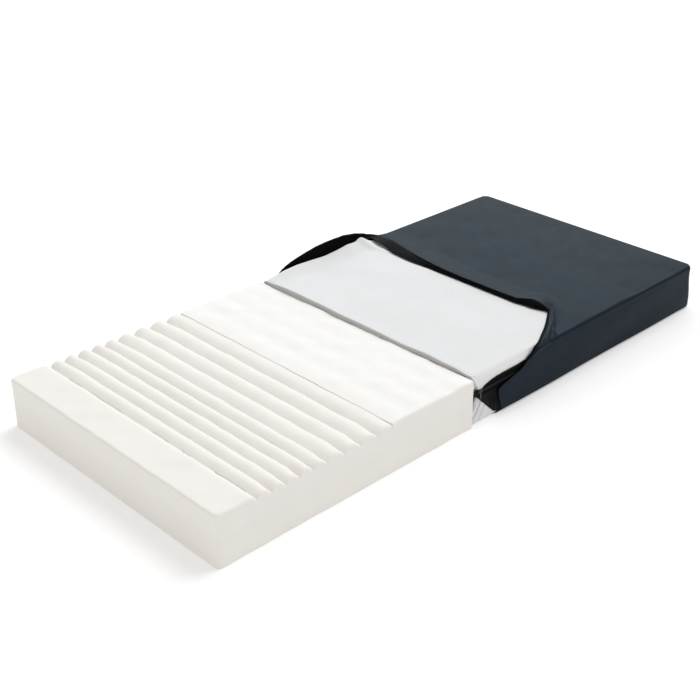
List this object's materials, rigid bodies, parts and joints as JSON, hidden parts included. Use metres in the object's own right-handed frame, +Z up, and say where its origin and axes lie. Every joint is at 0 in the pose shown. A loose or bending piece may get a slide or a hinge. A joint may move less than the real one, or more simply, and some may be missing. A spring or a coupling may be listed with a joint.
{
  "type": "pressure relief mattress",
  "caption": "Foam hospital mattress with a ribbed heel zone, its inner liner and zipped waterproof cover drawn back over the head half.",
  "frame": {"origin": "under the centre of the mattress, on the surface it lies on", "axes": "+X along the length to the head end, +Y across to the far side, +Z up"},
  "size_m": [1.98, 0.88, 0.1991],
  "materials": {
    "foam": "matte",
    "liner_cloth": "matte",
    "cover_cloth": "satin",
    "black_cloth": "matte",
    "zip_coil": "satin",
    "zip_metal": "satin"
  },
  "bodies": {
    "core": {"foam_base_slab": "foam", "foam_foot_topper": "foam", "foam_body_topper": "foam", "foam_head_topper": "foam"},
    "liner": {"liner_top_panel": "liner_cloth", "liner_base_panel": "liner_cloth", "liner_border_near": "liner_cloth", "liner_border_far": "liner_cloth", "liner_border_head": "liner_cloth", "liner_hem": "liner_cloth"},
    "cover": {"cover_top_panel": "cover_cloth", "cover_base_panel": "cover_cloth", "cover_flap_near": "cover_cloth", "cover_flap_far": "cover_cloth", "cover_flap_head": "cover_cloth", "cover_border_lower_near": "black_cloth", "cover_border_lower_far": "black_cloth", "cover_border_lower_head": "black_cloth", "cover_border_upper_near": "black_cloth", "cover_border_upper_far": "black_cloth", "cover_border_upper_head": "black_cloth", "mouth_binding_top": "black_cloth", "mouth_binding_near": "black_cloth", "mouth_facing_far": "black_cloth", "zip_tape_lower": "black_cloth", "zip_tape_upper": "black_cloth", "zip_coil_lower": "zip_coil", "zip_coil_upper": "zip_coil", "zip_stop_near": "zip_coil", "zip_stop_far": "zip_coil"},
    "slider_near": {"zip_slider_near": "zip_metal"},
    "slider_far": {"zip_slider_far": "zip_metal"},
    "pull_near": {"zip_pull_near": "zip_metal"},
    "pull_far": {"zip_pull_far": "zip_metal"}
  },
  "joints": [
    {"name": "liner_draws_off", "type": "slide", "parent": "core", "child": "liner", "axis": [1, 0, 0], "range_m": [0, 1.1]},
    {"name": "cover_draws_off", "type": "slide", "parent": "liner", "child": "cover", "axis": [1, 0, 0], "range_m": [0, 1.1]},
    {"name": "near_slider_runs", "type": "slide", "parent": "cover", "child": "slider_near", "axis": [1, 0, 0], "range_m": [0, 1]},
    {"name": "far_slider_runs", "type": "slide", "parent": "cover", "child": "slider_far", "axis": [1, 0, 0], "range_m": [0, 1]},
    {"name": "near_pull_swings", "type": "hinge", "parent": "slider_near", "child": "pull_near", "pos_m": [-0.066, -0.437, 0.1], "axis": [0, 1, 0], "range_deg": [-80, 80]},
    {"name": "far_pull_swings", "type": "hinge", "parent": "slider_far", "child": "pull_far", "pos_m": [-0.066, 0.437, 0.1], "axis": [0, 1, 0], "range_deg": [-80, 80]}
  ]
}
